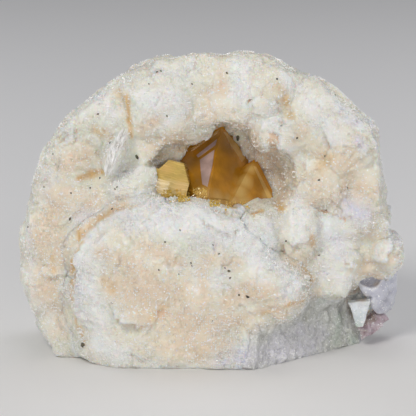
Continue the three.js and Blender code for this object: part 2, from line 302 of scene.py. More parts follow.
def solid_at(px, py):
    """The nearest place on the fixed solids under a pixel."""
    start, way = ray_of(px, py)
    hits = [tree.ray_cast(start, way) for tree in solid_trees.values()]
    hits = [(far, place) for place, _, _, far in hits if place is not None]
    return min(hits, key=lambda hit: hit[0])[1]


fans = [(solid_at(*root), solid_at(*tip), ribs, math.radians(spread)) for root, tip, ribs, spread in FANS]


def ribs_at(place):
    """Height of the fans' ribs at a place."""
    height = 0.0
    for root, tip, ribs, spread in fans:
        arm = place - root
        reach = (tip - root).length
        if arm.length > 1.25 * reach:
            continue
        turn = math.atan2(arm.z, arm.x) - math.atan2(tip.z - root.z, tip.x - root.x)
        turn = (turn + math.pi) % math.tau - math.pi
        side = max(0.0, 1.0 - (turn / spread) ** 2)
        along = arm.length / reach
        fade = min(1.0, 4 * max(0.0, along - 0.15)) * min(1.0, 5 * max(0.0, 1.25 - along))
        wobble = 0.5 * noise.noise(place / (2.5 * MM))
        height += side * fade * (abs(math.sin(ribs * turn + wobble)) - 0.5)
    return RIB_HEIGHT * height


def stilbite_relief(place, normal):
    wide = noise.noise(place / SWELL_WAVE) + 0.5 * noise.noise(2 * place / SWELL_WAVE)
    share = roughness_at(place, normal)
    facets = FACET[1] * (caps(place, FACET[0], CAP_LEAN) - FACET_MEAN)
    blades = BLADE[1] * (caps(place, BLADE[0], CAP_LEAN) - BLADE_MEAN)
    dust = DUST[1] * noise.noise(place / DUST[0])
    ribs = ribs_at(place) if normal.y < 0.2 else 0.0
    return SWELL * wide + (0.35 + 0.65 * share) * facets + share * (blades + dust) + ribs


print("fans:", len(fans))

# %% [markdown]
# ## The stilbite mass and the dome in front
#
# Both are copies of the fixed solids. The voxel size sets the finest relief that the
# net can hold and the number of faces: four tenths of a millimetre shows single grains
# and stays under the limit of faces for one piece.

# %% Stilbite pieces
VOXEL = 0.42 * MM
STONE_ROUNDS = 16
MATRIX_NEIGHBOURS = ("front_dome", "apophyllite_block", "pearly_shell")
POWELLITES = ("powellite_main", "powellite_left")
DOME_NEIGHBOURS = ("stilbite_matrix", "apophyllite_block")


def skin(node, name, voxel, height_at, rounds):
    """A piece that copies a node, with an even net and a relief of its own."""
    piece = remeshed(merged_copy(node, name), voxel)
    return measured(reshaped(piece, height_at, rounds))


def matrix_swell(place):
    return max(joint_swell(place, MATRIX_NEIGHBOURS), joint_swell(place, POWELLITES, POWELLITE_SWELL))


matrix = skin("stilbite_matrix", "stilbite_crust", VOXEL,
              lambda p, n: stilbite_relief(p, n) + matrix_swell(p), STONE_ROUNDS)
dome = skin("front_dome", "dome_crust", VOXEL,
            lambda p, n: stilbite_relief(p, n) + joint_swell(p, DOME_NEIGHBOURS), STONE_ROUNDS)

# %% [markdown]
# ## Apophyllite at the foot
#
# The block is a cleaved, milky crystal with faint furrows down its front, and its upper
# part is crusted over. The furrows come from noise stretched along the height.

# %% Apophyllite block and its small neighbours
FURROW = 0.24 * MM
FURROW_PITCH = 1.3 * MM
FURROW_LENGTH = 8 * MM
CRUST = (1.8 * MM, 0.55 * MM)
CRUST_LEAN = 2.2
BLOCK_NEIGHBOURS = ("front_dome", "stilbite_matrix")
BLOCK_VOXEL, CHIP_VOXEL, SHELL_VOXEL, BLADES_VOXEL = (size * MM for size in (0.3, 0.2, 0.25, 0.2))
CHIP_RELIEF = (0.9 * MM, 0.16 * MM)
SHELL_RELIEF = (1.8 * MM, 0.25 * MM)
SHELL_CAPS = (2.6 * MM, 0.45 * MM)
SHELL_LEAN = 1.4
BLADES_RELIEF = (0.8 * MM, 0.2 * MM)


def furrow_relief(place, normal):
    tall = Vector((place.x / FURROW_PITCH, place.y / FURROW_PITCH, place.z / FURROW_LENGTH))
    crust = CRUST[1] * (caps(place, CRUST[0], CRUST_LEAN) - BLADE_MEAN)
    return FURROW * noise.noise(tall) + crust + DUST[1] * noise.noise(place / DUST[0])


def sunk_relief(place, wave, depth):
    """Noise that lies half its depth below the old surface."""
    return depth * (noise.noise(place / wave) - 0.5)


def shell_relief(place, normal):
    low = SHELL_RELIEF[1] * noise.noise(place / SHELL_RELIEF[0])
    return low + SHELL_CAPS[1] * caps(place, SHELL_CAPS[0], SHELL_LEAN)


block = skin("apophyllite_block", "apophyllite_furrows", BLOCK_VOXEL,
             lambda p, n: furrow_relief(p, n) + joint_swell(p, BLOCK_NEIGHBOURS), 9)
chip = skin("apophyllite_chip", "white_chip", CHIP_VOXEL, lambda p, n: sunk_relief(p, *CHIP_RELIEF), 2)
shell = skin("pearly_shell", "pearly_flake", SHELL_VOXEL, shell_relief, 3)
blades = skin("pink_blades", "pink_flakes", BLADES_VOXEL, lambda p, n: sunk_relief(p, *BLADES_RELIEF), 1)

# %% [markdown]
# ## Where the stone is hollow
#
# The materials paint light and shade from these hollows: the crests are painted lighter,
# and the creases and recesses take a darker warm tint as painted shade. Small
# hollows are the vertices that lie below the average of their surroundings, taken from a
# smoothed copy. Wide hollows are found by looking out from the surface: the sooner a
# line meets stone again, the deeper the place lies. Both are stored as attributes, which
# a material can read from every side.

# %% Store the hollows as attributes
HOLLOW_ROUNDS = 12
HOLLOW_FULL = 0.3 * MM
LOOK_OUT = 9 * MM
LOOK_START = 1.1 * MM


def store(piece, name, values):
    piece.data.attributes.new(name, "FLOAT", "POINT").data.foreach_set("value", values)


def store_hollows(piece):
    bm = bmesh.new()
    bm.from_mesh(piece.data)
    bm.normal_update()
    before = [(v.co.copy(), v.normal.copy()) for v in bm.verts]
    smoothed(bm, bm.verts[:], HOLLOW_ROUNDS)
    depths = [(v.co - co).dot(n) / HOLLOW_FULL for v, (co, n) in zip(bm.verts, before)]
    bm.free()
    store(piece, "hollow", depths)
    print(piece.name, "hollow from", round(min(depths), 2), "to", round(max(depths), 2))


whole_tree = tree_of(*nodes.values())


def closeness(place, way):
    """1 where stone is met at once in a direction, 0 where nothing is met nearby."""
    far = whole_tree.ray_cast(place, way, LOOK_OUT)[3]
    return 0.0 if far is None else 1.0 - far / LOOK_OUT


def store_shelter(piece):
    """Store how closed in each vertex is, from a few directions around its normal."""
    values = []
    for vert in piece.data.vertices:
        out = vert.normal
        side = out.orthogonal().normalized()
        across = out.cross(side)
        start = vert.co + out * LOOK_START
        ways = [out, out + side, out - side, out + across, out - across]
        values.append(sum(closeness(start, way.normalized()) for way in ways) / len(ways))
    store(piece, "shelter", values)
    print(piece.name, "shelter up to", round(max(values), 2))


STONES = (matrix, dome, block, chip, shell, blades)
for stone in STONES:
    store_hollows(stone)
    store_shelter(stone)

# %% [markdown]
# ## Finding points of the picture on the stone
#
# A line of sight is cast at the stones, and the nearest hit counts. The tints and the
# dark grains are laid out with it, where they are seen on the real specimen.

# %% Cast lines of sight at the stones
stone_trees = {stone.name: tree_of(stone) for stone in STONES}


def seen_at(px, py, trees=stone_trees):
    """The piece's name, place and normal under a pixel, or None beside the pieces."""
    start, way = ray_of(px, py)
    hits = []
    for name, tree in trees.items():
        place, normal, _, far = tree.ray_cast(start, way)
        if place is not None:
            hits.append((far, name, place, normal))
    return min(hits, key=lambda hit: hit[0])[1:] if hits else None


# %% [markdown]
# ## Where each tint lies
#
# The stilbite is white on the lobes, peach in wide zones between them, golden brown in
# a few creases and lilac where the rim was broken. The block is green at its right end,
# and the recess beside the chip is brown. Each zone is a brush stroke: a radius in
# pixels, a strength, and the pixels that the stroke passes through. The strokes are
# laid on the stone itself, so they stay in place from every side.

# %% Strokes of tint
WHITE = [
    (14, 0.9, (98, 222), (120, 206), (160, 202), (200, 210), (235, 224), (262, 252)),
    (12, 0.9, (130, 222), (170, 222), (215, 232), (250, 246)),
    (11, 0.9, (90, 245), (80, 262), (76, 290), (82, 315)), (11, 0.8, (98, 250), (92, 290), (100, 318)),
    (11, 0.8, (96, 330), (104, 348), (125, 356)), (11, 0.9, (256, 262), (280, 265), (298, 288)),
    (9, 0.8, (262, 282), (286, 292)), (8, 0.6, (213, 285), (222, 272)),
    (3, 0.8, (196, 278), (196, 292)), (7, 0.5, (150, 362), (200, 368)),
    (10, 0.8, (79, 105), (97, 96), (112, 112)), (8, 0.7, (118, 176), (134, 170)),
    (15, 0.9, (148, 100), (172, 96)), (10, 0.7, (160, 124), (186, 112)),
    (12, 0.6, (188, 72), (165, 72)), (14, 0.9, (240, 68), (240, 96)), (13, 0.8, (274, 121), (262, 126)),
    (11, 0.8, (289, 81), (312, 100)), (14, 0.8, (332, 136), (318, 112)),
    (6, 1.0, (307, 76), (343, 109), (362, 128)), (6, 0.6, (292, 147), (286, 154)),
    (5, 0.5, (300, 158), (308, 162)), (9, 0.9, (296, 201), (304, 215)),
    (13, 0.8, (269, 226), (268, 240)), (13, 0.8, (296, 224), (300, 238)),
    (17, 0.9, (330, 226), (338, 248)), (12, 0.7, (326, 272), (345, 282)),
    (6, 0.9, (378, 250), (395, 240)), (8, 0.7, (30, 230), (34, 290)), (10, 0.5, (40, 300), (55, 320)),
    (9, 0.6, (52, 175), (44, 200)), (5, 0.7, (124, 136), (111, 168)),
]
PEACH = [
    (8, 0.9, (100, 252), (125, 262), (150, 275)), (8, 0.8, (140, 245), (160, 252), (176, 262)),
    (17, 0.8, (112, 282), (140, 292), (178, 292)), (17, 0.8, (145, 318), (190, 325), (222, 322)),
    (10, 0.9, (228, 302), (250, 292), (270, 292)), (7, 0.9, (235, 322), (275, 308), (302, 300)),
    (7, 0.7, (205, 258), (236, 264)), (11, 0.7, (165, 345), (200, 352), (225, 345)),
    (6, 0.8, (202, 270), (205, 300)), (14, 0.8, (84, 154), (66, 164)), (7, 0.8, (142, 130), (156, 121)),
    (11, 0.8, (152, 148), (172, 143)), (9, 0.8, (124, 198), (110, 208)),
    (13, 0.8, (84, 218), (94, 200)), (11, 0.8, (60, 205), (48, 222)), (11, 0.8, (62, 240), (60, 262)),
    (12, 0.7, (50, 282), (62, 330)), (9, 0.6, (206, 95), (212, 118)),
    (6, 0.9, (223, 56), (222, 90), (224, 124)), (9, 0.6, (303, 130), (296, 138)),
    (11, 0.9, (256, 150), (274, 150)), (11, 0.9, (268, 168), (280, 190)),
    (12, 0.7, (321, 180), (314, 198)), (9, 0.5, (358, 192), (376, 190)),
    (10, 0.9, (288, 260), (302, 266)), (7, 0.7, (311, 240), (316, 246)),
    (8, 0.6, (366, 230), (376, 236)), (6, 0.8, (360, 266), (368, 262)),
    (5, 0.7, (391, 261), (398, 256)), (8, 0.7, (309, 292), (316, 296)),
    (12, 0.5, (320, 155), (346, 166)), (7, 0.9, (364, 272), (376, 278)),
    (3, 0.8, (380, 276), (376, 284)), (6, 0.7, (250, 330), (285, 316)),
    (5, 0.5, (268, 326), (300, 312)), (13, 0.6, (50, 196), (40, 240), (44, 292)),
    (13, 0.6, (345, 158), (360, 190)), (10, 0.8, (334, 202), (346, 190)),
    (10, 0.7, (64, 190), (76, 196)), (12, 0.7, (172, 138), (184, 148)),
    (12, 0.8, (254, 136), (262, 156), (282, 200)), (9, 0.6, (280, 168), (300, 176)),
    (10, 0.5, (228, 116), (244, 128)), (10, 0.4, (190, 118), (206, 122)),
]
GOLD = [
    (3.5, 0.9, (72, 262), (71, 287)), (3.5, 0.9, (80, 328), (84, 344)),
    (5, 0.7, (82, 234), (100, 218), (126, 206)), (3, 0.9, (127, 98), (129, 120), (131, 136)),
    (6, 0.6, (95, 130), (111, 138)), (4, 1.0, (79, 179), (92, 174), (104, 172)),
    (2.5, 0.9, (79, 226), (79, 240)), (5, 0.9, (286, 100), (290, 116)), (6, 0.5, (278, 87), (282, 92)),
    (8, 0.6, (329, 158), (322, 166)), (4, 1.0, (282, 210), (278, 206)),
    (7, 0.8, (306, 272), (311, 280)), (2.5, 0.7, (262, 314), (290, 304), (304, 300)),
    (5, 0.6, (152, 318), (164, 306)), (3, 0.8, (235, 208), (228, 206)),
    (6, 0.5, (104, 280), (112, 290)), (4, 0.6, (311, 238), (312, 244)),
    (4, 0.9, (253, 214), (262, 210)), (6, 0.6, (118, 92), (124, 98)), (3, 0.7, (52, 256), (54, 272)),
    (3, 0.6, (180, 150), (188, 146), (200, 134)), (3, 0.7, (276, 200), (284, 208)),
    (4, 0.5, (150, 160), (158, 157)), (3, 0.8, (72, 300), (73, 268), (82, 242)),
    (3, 0.6, (76, 318), (80, 332)), (3, 0.5, (130, 208), (160, 203)),
]
LILAC = [
    (13, 0.9, (350, 207), (362, 216)), (6, 0.8, (363, 147), (358, 140)),
    (6, 0.7, (350, 121), (372, 126)), (9, 0.5, (86, 214), (80, 222)), (5, 0.5, (394, 232), (400, 244)),
    (6, 0.6, (60, 354), (80, 358)), (10, 0.5, (215, 362), (245, 360)), (9, 0.6, (337, 240), (340, 252)),
    (13, 0.9, (245, 356), (280, 352), (312, 346)), (9, 0.6, (275, 338), (300, 330), (322, 332)),
]
GREEN = [
    (7, 0.9, (356, 326), (354, 342)), (8, 0.6, (340, 318), (336, 340)),
    (7, 0.5, (322, 300), (340, 296)),
]
BROWN = [
    (5, 0.9, (354, 290), (362, 300), (372, 316)), (4, 0.7, (348, 300), (352, 316)),
    (3, 0.8, (366, 322), (374, 320)),
]


def laid(strokes, trees):
    """Segments on the pieces for a list of strokes: start, end, radius and strength."""
    segments = []
    for radius, strength, *pixels in strokes:
        hits = [seen_at(*pixel, trees) for pixel in pixels]
        spots = [hit[1] for hit in hits if hit]
        segments += [(a, b, radius * PIXEL, strength) for a, b in zip(spots, spots[1:])]
    return segments


def store_strokes(name, strokes, pieces=STONES, trees=stone_trees):
    segments = laid(strokes, trees)
    for piece in pieces:
        count = len(piece.data.vertices)
        flat = numpy.empty(3 * count)
        piece.data.vertices.foreach_get("co", flat)
        places = flat.reshape(count, 3)
        clear = numpy.ones(count)
        for start, end, radius, strength in segments:
            a, way = numpy.array(start), numpy.array(end - start)
            share = numpy.clip((places - a) @ way / max(way @ way, 1e-12), 0, 1)
            far2 = ((places - a - share[:, None] * way) ** 2).sum(axis=1)
            clear *= 1 - strength * numpy.exp(-far2 / radius ** 2)
        store(piece, name, (1 - clear).tolist())
    print(name, "strokes laid:", len(segments))


for name, strokes in (("white", WHITE), ("peach", PEACH), ("gold", GOLD), ("lilac", LILAC),
                      ("green", GREEN), ("brown", BROWN)):
    store_strokes(name, strokes)

# %% [markdown]
# ## Tools for materials
#
# Each material is a Principled shader fed by a few named patterns. Patterns that more
# than one material uses are node groups: one makes the grainy relief of a druse, one
# the tint that follows the hollows.

# %% Material helpers
def new_material(name):
    material = bpy.data.materials.new(name)
    material.use_nodes = True
    tree = material.node_tree
    return material, tree, tree.nodes["Principled BSDF"]


def set_values(node, **values):
    """Set inputs by name: underscores in the keyword stand for spaces."""
    for key, value in values.items():
        node.inputs[key.replace("_", " ")].default_value = value


def object_coordinates(tree):
    return tree.nodes.new("ShaderNodeTexCoord").outputs["Object"]


def noise_texture(tree, vector, scale, detail=3.0, roughness=0.6):
    node = tree.nodes.new("ShaderNodeTexNoise")
    set_values(node, Scale=scale, Detail=detail, Roughness=roughness)
    tree.links.new(vector, node.inputs["Vector"])
    return node.outputs["Fac"]


def ramp(tree, value, *stops):
    """A colour ramp: each stop is a position and an RGB colour."""
    node = tree.nodes.new("ShaderNodeValToRGB")
    elements = node.color_ramp.elements
    while len(elements) < len(stops):
        elements.new(0.5)
    for element, (position, colour) in zip(elements, stops):
        element.position = position
        element.color = (*colour, 1.0)
    tree.links.new(value, node.inputs["Fac"])
    return node.outputs["Color"]


def mixed(tree, share, a, b):
    """Mix two colours; share, a and b are sockets or plain values."""
    node = tree.nodes.new("ShaderNodeMix")
    node.data_type = "RGBA"
    for socket, value in ((node.inputs[0], share), (node.inputs[6], a), (node.inputs[7], b)):
        if isinstance(value, bpy.types.NodeSocket):
            tree.links.new(value, socket)
        else:
            socket.default_value = (*value, 1.0) if isinstance(value, tuple) else value
    return node.outputs[2]


def maths(tree, operation, a, b=0.0, clamp=False):
    node = tree.nodes.new("ShaderNodeMath")
    node.operation = operation
    node.use_clamp = clamp
    for socket, value in zip(node.inputs, (a, b)):
        if isinstance(value, bpy.types.NodeSocket):
            tree.links.new(value, socket)
        else:
            socket.default_value = value
    return node.outputs[0]


def attribute(tree, name):
    node = tree.nodes.new("ShaderNodeAttribute")
    node.attribute_name = name
    return node.outputs["Fac"]


def new_group(name, inputs, outputs):
    """An empty node group; inputs are (name, default), outputs are (name, socket type)."""
    group = bpy.data.node_groups.new(name, "ShaderNodeTree")
    group.interface.new_socket("Vector", in_out="INPUT", socket_type="NodeSocketVector")
    for label, default in inputs:
        socket = group.interface.new_socket(label, in_out="INPUT", socket_type="NodeSocketFloat")
        socket.default_value = default
    for label, kind in outputs:
        group.interface.new_socket(label, in_out="OUTPUT", socket_type=kind)
    return group, group.nodes.new("NodeGroupInput"), group.nodes.new("NodeGroupOutput")


def placed(tree, group, **values):
    node = tree.nodes.new("ShaderNodeGroup")
    node.node_tree = group
    set_values(node, **values)
    return node


# %% [markdown]
# ### Group: druse
#
# A druse is a crust of tiny crystals, and each one faces its own way. Cell noise gives
# every cell a random colour, which is taken as a tilt: the height rises across the cell
# in that direction, so each cell is one flat facet that catches the light or doesn't.
# The few cells whose random value is highest are painted glints: the materials give them a white base
# colour, and the stilbite a lower roughness too.

# %% Druse group
def vector_maths(tree, operation, a, b):
    node = tree.nodes.new("ShaderNodeVectorMath")
    node.operation = operation
    for socket, value in zip(node.inputs, (a, b)):
        if isinstance(value, bpy.types.NodeSocket):
            tree.links.new(value, socket)
        else:
            socket.default_value = value
    return node.outputs["Value" if operation in ("DOT_PRODUCT", "DISTANCE") else 0]


def tilted_cells(tree, vector, scale):
    """Height of flat cells that each tilt their own way, and the cells' random colour."""
    cells = tree.nodes.new("ShaderNodeTexVoronoi")
    tree.links.new(vector, cells.inputs["Vector"])
    tree.links.new(scale, cells.inputs["Scale"])
    away = vector_maths(tree, "SUBTRACT", vector, cells.outputs["Position"])
    tilt = vector_maths(tree, "SUBTRACT", cells.outputs["Color"], (0.5, 0.5, 0.5))
    slope = vector_maths(tree, "DOT_PRODUCT", away, tilt)
    return maths(tree, "MULTIPLY", slope, scale), cells.outputs["Color"]


druse, g_in, g_out = new_group(
    "druse", [("Scale", 1500.0)],
    [("Height", "NodeSocketFloat"), ("Glint", "NodeSocketFloat"), ("Mottle", "NodeSocketFloat")])
coarse, _ = tilted_cells(druse, g_in.outputs["Vector"], g_in.outputs["Scale"])
fine_scale = maths(druse, "MULTIPLY", g_in.outputs["Scale"], 2.7)
fine, colours = tilted_cells(druse, g_in.outputs["Vector"], fine_scale)
parts = druse.nodes.new("ShaderNodeSeparateColor")
druse.links.new(colours, parts.inputs[0])
druse.links.new(maths(druse, "ADD", coarse, maths(druse, "MULTIPLY", fine, 0.55)), g_out.inputs["Height"])
druse.links.new(maths(druse, "GREATER_THAN", parts.outputs[0], 0.95), g_out.inputs["Glint"])
druse.links.new(parts.outputs[2], g_out.inputs["Mottle"])
print("druse group has", len(druse.nodes), "nodes")

# %% [markdown]
# ### Stilbite
# Stilbite is milky: light enters, scatters and leaves again a little further on, which
# is what subsurface scattering does. The colour runs through cream to peach, and to a
# golden brown in a few creases. The crests are painted lighter, towards bluish white, and
# the deepest seams and recesses are painted with a darker warm tint, as painted shade.

# %% Stilbite material
TINT_WHITE = (0.91, 0.91, 0.89)
TINT_CREAM = (0.86, 0.81, 0.67)
TINT_GREEN = (0.82, 0.83, 0.73)
TINT_PEACH = (0.83, 0.68, 0.515)
TINT_GOLD = (0.76, 0.50, 0.21)
TINT_LILAC = (0.80, 0.78, 0.85)
TINT_BROWN = (0.40, 0.28, 0.19)
# Painted shade: the darker warm tint of sheltered recesses and deep hollows.
TINT_RECESS_SHADE = (0.84, 0.60, 0.40)
# Painted glints: the white base colour of the brightest druse cells.
PAINTED_GLINT_WHITE = (0.98, 0.98, 0.98)
SHELTER_FROM = 0.35
RECESS_SHADE_SHARE = 0.8
BLOTCH = 0.7
GRAIN_SCALE, CLOUD_SCALE, TINT_SCALE, FLAKE_SCALE, PATCH_SCALE = 1300.0, 420.0, 70.0, 900.0, 160.0
GRAIN_HEIGHT = 0.6 * MM


def blotched(tree, name, clouds, low, high):
    """A stroke's mask with its soft edge broken up by clouds."""
    value = maths(tree, "ADD", attribute(tree, name), maths(tree, "MULTIPLY", clouds, BLOTCH))
    return ramp(tree, value, (low, (0, 0, 0)), (high, (1, 1, 1)))


def stilbite(name):
    material, tree, shader = new_material(name)
    place = object_coordinates(tree)
    grains = placed(tree, druse, Scale=GRAIN_SCALE)
    tree.links.new(place, grains.inputs["Vector"])
    clouds = maths(tree, "SUBTRACT", noise_texture(tree, place, CLOUD_SCALE, 5.0, 0.7), 0.5)
    tint = noise_texture(tree, place, TINT_SCALE, 3.0)
    hollow = attribute(tree, "hollow")
    body = mixed(tree, ramp(tree, tint, (0.45, (0, 0, 0)), (0.7, (1, 1, 1))), TINT_CREAM, TINT_GREEN)
    # Painted light: the crests are lightened towards white.
    crest = maths(tree, "MULTIPLY", hollow, -0.55, clamp=True)
    body = mixed(tree, crest, body, TINT_WHITE)
    body = mixed(tree, blotched(tree, "white", clouds, 0.05, 0.9), body, TINT_WHITE)
    body = mixed(tree, blotched(tree, "peach", clouds, 0.05, 1.0), body, TINT_PEACH)
    body = mixed(tree, blotched(tree, "lilac", clouds, 0.1, 0.9), body, TINT_LILAC)
    # Painted shade: sheltered recesses and deep hollows take the darker warm tint, like ambient occlusion.
    closed = maths(tree, "SUBTRACT", attribute(tree, "shelter"), SHELTER_FROM)
    closed = maths(tree, "MULTIPLY", maths(tree, "MULTIPLY", closed, 1.5, clamp=True), RECESS_SHADE_SHARE)
    deep = maths(tree, "MULTIPLY", maths(tree, "SUBTRACT", hollow, 0.9), 0.5, clamp=True)
    body = mixed(tree, maths(tree, "ADD", deep, closed, clamp=True), body, TINT_RECESS_SHADE)
    body = mixed(tree, blotched(tree, "gold", clouds, 0.1, 1.0), body, TINT_GOLD)
    body = mixed(tree, blotched(tree, "brown", clouds, 0.1, 1.0), body, TINT_BROWN)
    flakes = noise_texture(tree, place, FLAKE_SCALE, 3.0, 0.7)
    flakes = maths(tree, "MULTIPLY", ramp(tree, flakes, (0.56, (0, 0, 0)), (0.66, (1, 1, 1))), 0.4)
    body = mixed(tree, flakes, body, TINT_WHITE)
    body = mixed(tree, maths(tree, "MULTIPLY", grains.outputs["Mottle"], 0.1), body, TINT_WHITE)
    # Painted glints: the brightest druse cells get a white base colour.
    body = mixed(tree, grains.outputs["Glint"], body, PAINTED_GLINT_WHITE)
    tree.links.new(body, shader.inputs["Base Color"])
    rough = maths(tree, "SUBTRACT", 0.3, maths(tree, "MULTIPLY", grains.outputs["Glint"], 0.25))
    tree.links.new(rough, shader.inputs["Roughness"])
    bump = tree.nodes.new("ShaderNodeBump")
    set_values(bump, Strength=1.0, Distance=GRAIN_HEIGHT)
    patches = noise_texture(tree, place, PATCH_SCALE, 3.0)
    patches = ramp(tree, patches, (0.38, (0.3, 0.3, 0.3)), (0.62, (1, 1, 1)))
    tree.links.new(maths(tree, "MULTIPLY", grains.outputs["Height"], patches), bump.inputs["Height"])
    tree.links.new(bump.outputs["Normal"], shader.inputs["Normal"])
    set_values(shader, IOR=1.5, Subsurface_Weight=0.65, Subsurface_Scale=0.7 * MM,
               Subsurface_Radius=(3.2, 2.3, 1.6))
    return material


stilbite_look = stilbite("stilbite")
dome_look = stilbite("dome stilbite")
dress(matrix, stilbite_look)
dress(dome, dome_look)
print("stilbite materials:", stilbite_look.name, dome_look.name)

# %% [markdown]
# ## Powellite
#
# The powellite keeps the flat faces of its solids: a slight bevel on the edges catches
# a thin line of light. It is clear amber, so light goes in, bends and is coloured on
# the way. The colour comes from absorption inside, deeper where the crystal is thicker.

# %% Powellite pieces
def crystal(node, name, edge):
    """A sharp crystal with its edges bevelled by a hair."""
    piece = merged_copy(node, name)
    bm = bmesh.new()
    bm.from_mesh(piece.data)
    bmesh.ops.dissolve_limit(bm, angle_limit=math.radians(1.0), verts=bm.verts, edges=bm.edges)
    sharp = [e for e in bm.edges if len(e.link_faces) == 2 and e.calc_face_angle() > math.radians(12)]
    bmesh.ops.bevel(bm, geom=sharp, offset=edge, affect="EDGES", segments=1, profile=0.5,
                    clamp_overlap=True, material=-1)
    bmesh.ops.triangulate(bm, faces=bm.faces)
    bm.to_mesh(piece.data)
    bm.free()
    for polygon in piece.data.polygons:
        polygon.use_smooth = False
    return measured(piece)


powellite = crystal("powellite_main", "amber_crystal", 0.1 * MM)
side_group = crystal("powellite_left", "yellow_crystals", 0.14 * MM)

# %% [markdown]
# ### Painted light and shade on the powellite
#
# The faces are painted darker brown in some places and brighter gold in others, at the
# foot and along the edges: painted shade and painted light that stand in for the
# crystal's inner reflections. The crystals' faces are too large to hold these zones at
# their corners. So each zone is a row of round spots, which the material measures.

# %% Powellite zones of painted light and shade
# Spots of painted shade and of painted light: a radius in pixels, then the centres.
PAINTED_SHADE_ZONES = [(17, (194, 164), (196, 184)), (22, (226, 148), (232, 170)), (14, (258, 182),)]
PAINTED_LIGHT_ZONES = [
    (15, (202, 198), (216, 202), (230, 204), (244, 204)), (13, (244, 180), (240, 192)),
    (9, (250, 168), (268, 196)), (11, (166, 168), (182, 186)),
]
crystal_trees = {node: solid_trees[node] for node in POWELLITES}


def spots_of(zones):
    """Centres and radii in metres of the spots whose line of sight meets a crystal."""
    marks = [(radius, pixel) for radius, *pixels in zones for pixel in pixels]
    rows = [(radius * PIXEL, seen_at(*pixel, crystal_trees)) for radius, pixel in marks]
    return [(hit[1], radius) for radius, hit in rows if hit]


painted_shade_spots = spots_of(PAINTED_SHADE_ZONES)
painted_light_spots = spots_of(PAINTED_LIGHT_ZONES)
print("dark and bright spots:", len(painted_shade_spots), len(painted_light_spots))

# %% [markdown]
# ### Powellite material
#
# The faces carry fine growth lines. They run level round the crystal, as the layers
# were added, so a wave along its axis moves the roughness and a very low bump.

# %% Powellite material
POWELLITE_IOR = 1.97
LEAN_RIGHT = math.radians(14)
LEAN_BACK = math.radians(7)


# Painted shade: how much darker the shaded spots are. Painted light: the colour of the lit spots.
PAINTED_SHADE_FACTOR = 0.5
PAINTED_LIGHT_POWELLITE = (0.80, 0.52, 0.16)


def near_spots(tree, place, spots, wisps):
    """A mask that is 1 at the middle of each spot, its soft edge broken up by wisps."""
    mask = 0.0
    for centre, radius in spots:
        far = vector_maths(tree, "DISTANCE", place, tuple(centre))
        share = maths(tree, "SUBTRACT", 1.0, maths(tree, "DIVIDE", far, radius), clamp=True)
        mask = maths(tree, "MAXIMUM", share, mask)
    value = maths(tree, "ADD", mask, maths(tree, "MULTIPLY", wisps, 0.3))
    return ramp(tree, value, (0.05, (0, 0, 0)), (0.75, (0.9, 0.9, 0.9)))


def powellite_look(name, colour, absorb, density, transmission, roughness):
    material, tree, shader = new_material(name)
    place = object_coordinates(tree)
    turned = tree.nodes.new("ShaderNodeMapping")
    turned.inputs["Rotation"].default_value = (LEAN_BACK, -LEAN_RIGHT, 0)
    tree.links.new(place, turned.inputs["Vector"])
    lines = tree.nodes.new("ShaderNodeTexWave")
    lines.bands_direction = "Z"
    set_values(lines, Scale=330.0, Distortion=3.0, Detail=2.0, Detail_Scale=1.2)
    tree.links.new(turned.outputs["Vector"], lines.inputs["Vector"])
    clouds = noise_texture(tree, place, 330.0, 4.0)
    shade = ramp(tree, clouds, (0.3, tuple(0.6 * c for c in colour)), (0.7, colour))
    wisps = maths(tree, "SUBTRACT", noise_texture(tree, turned.outputs["Vector"], 900.0, 4.0, 0.7), 0.5)
    # Painted shade and painted light: darker and brighter spots on the faces, in place of inner
    # reflections.
    dark = tuple(PAINTED_SHADE_FACTOR * c for c in colour)
    shade = mixed(tree, near_spots(tree, place, painted_shade_spots, wisps), shade, dark)
    shade = mixed(tree, near_spots(tree, place, painted_light_spots, wisps), shade, PAINTED_LIGHT_POWELLITE)
    tree.links.new(shade, shader.inputs["Base Color"])
    rough = maths(tree, "ADD", roughness, maths(tree, "MULTIPLY", lines.outputs["Fac"], 0.06))
    tree.links.new(rough, shader.inputs["Roughness"])
    bump = tree.nodes.new("ShaderNodeBump")
    set_values(bump, Strength=0.25, Distance=0.02 * MM)
    tree.links.new(lines.outputs["Fac"], bump.inputs["Height"])
    tree.links.new(bump.outputs["Normal"], shader.inputs["Normal"])
    set_values(shader, IOR=POWELLITE_IOR, Transmission_Weight=transmission, Specular_IOR_Level=0.3)
    volume = tree.nodes.new("ShaderNodeVolumeAbsorption")
    volume.inputs["Color"].default_value = (*absorb, 1.0)
    volume.inputs["Density"].default_value = density
    output = tree.nodes["Material Output"]
    tree.links.new(volume.outputs["Volume"], output.inputs["Volume"])
    return material


amber = powellite_look("amber powellite", (0.74, 0.32, 0.015), (0.95, 0.66, 0.22), 30.0, 0.3, 0.05)
gold = powellite_look("yellow powellite", (0.80, 0.56, 0.15), (0.95, 0.8, 0.4), 20.0, 0.15, 0.22)
dress(powellite, amber)
dress(side_group, gold)
print("powellite materials:", amber.name, gold.name)

# %% [markdown]
# ### Plates of painted reflection and painted light
#
# The left face of the big crystal carries two pale lilac bands, a painted reflection,
# and paler steps run along its edges as painted light. Both are thin plates, a few
# hundredths of a millimetre proud. Each is laid out by its corners in the picture,
# dropped on the crystal, and given its thickness by an extrusion.

# %% Plates of painted reflection and painted light
PLATE = 0.05 * MM
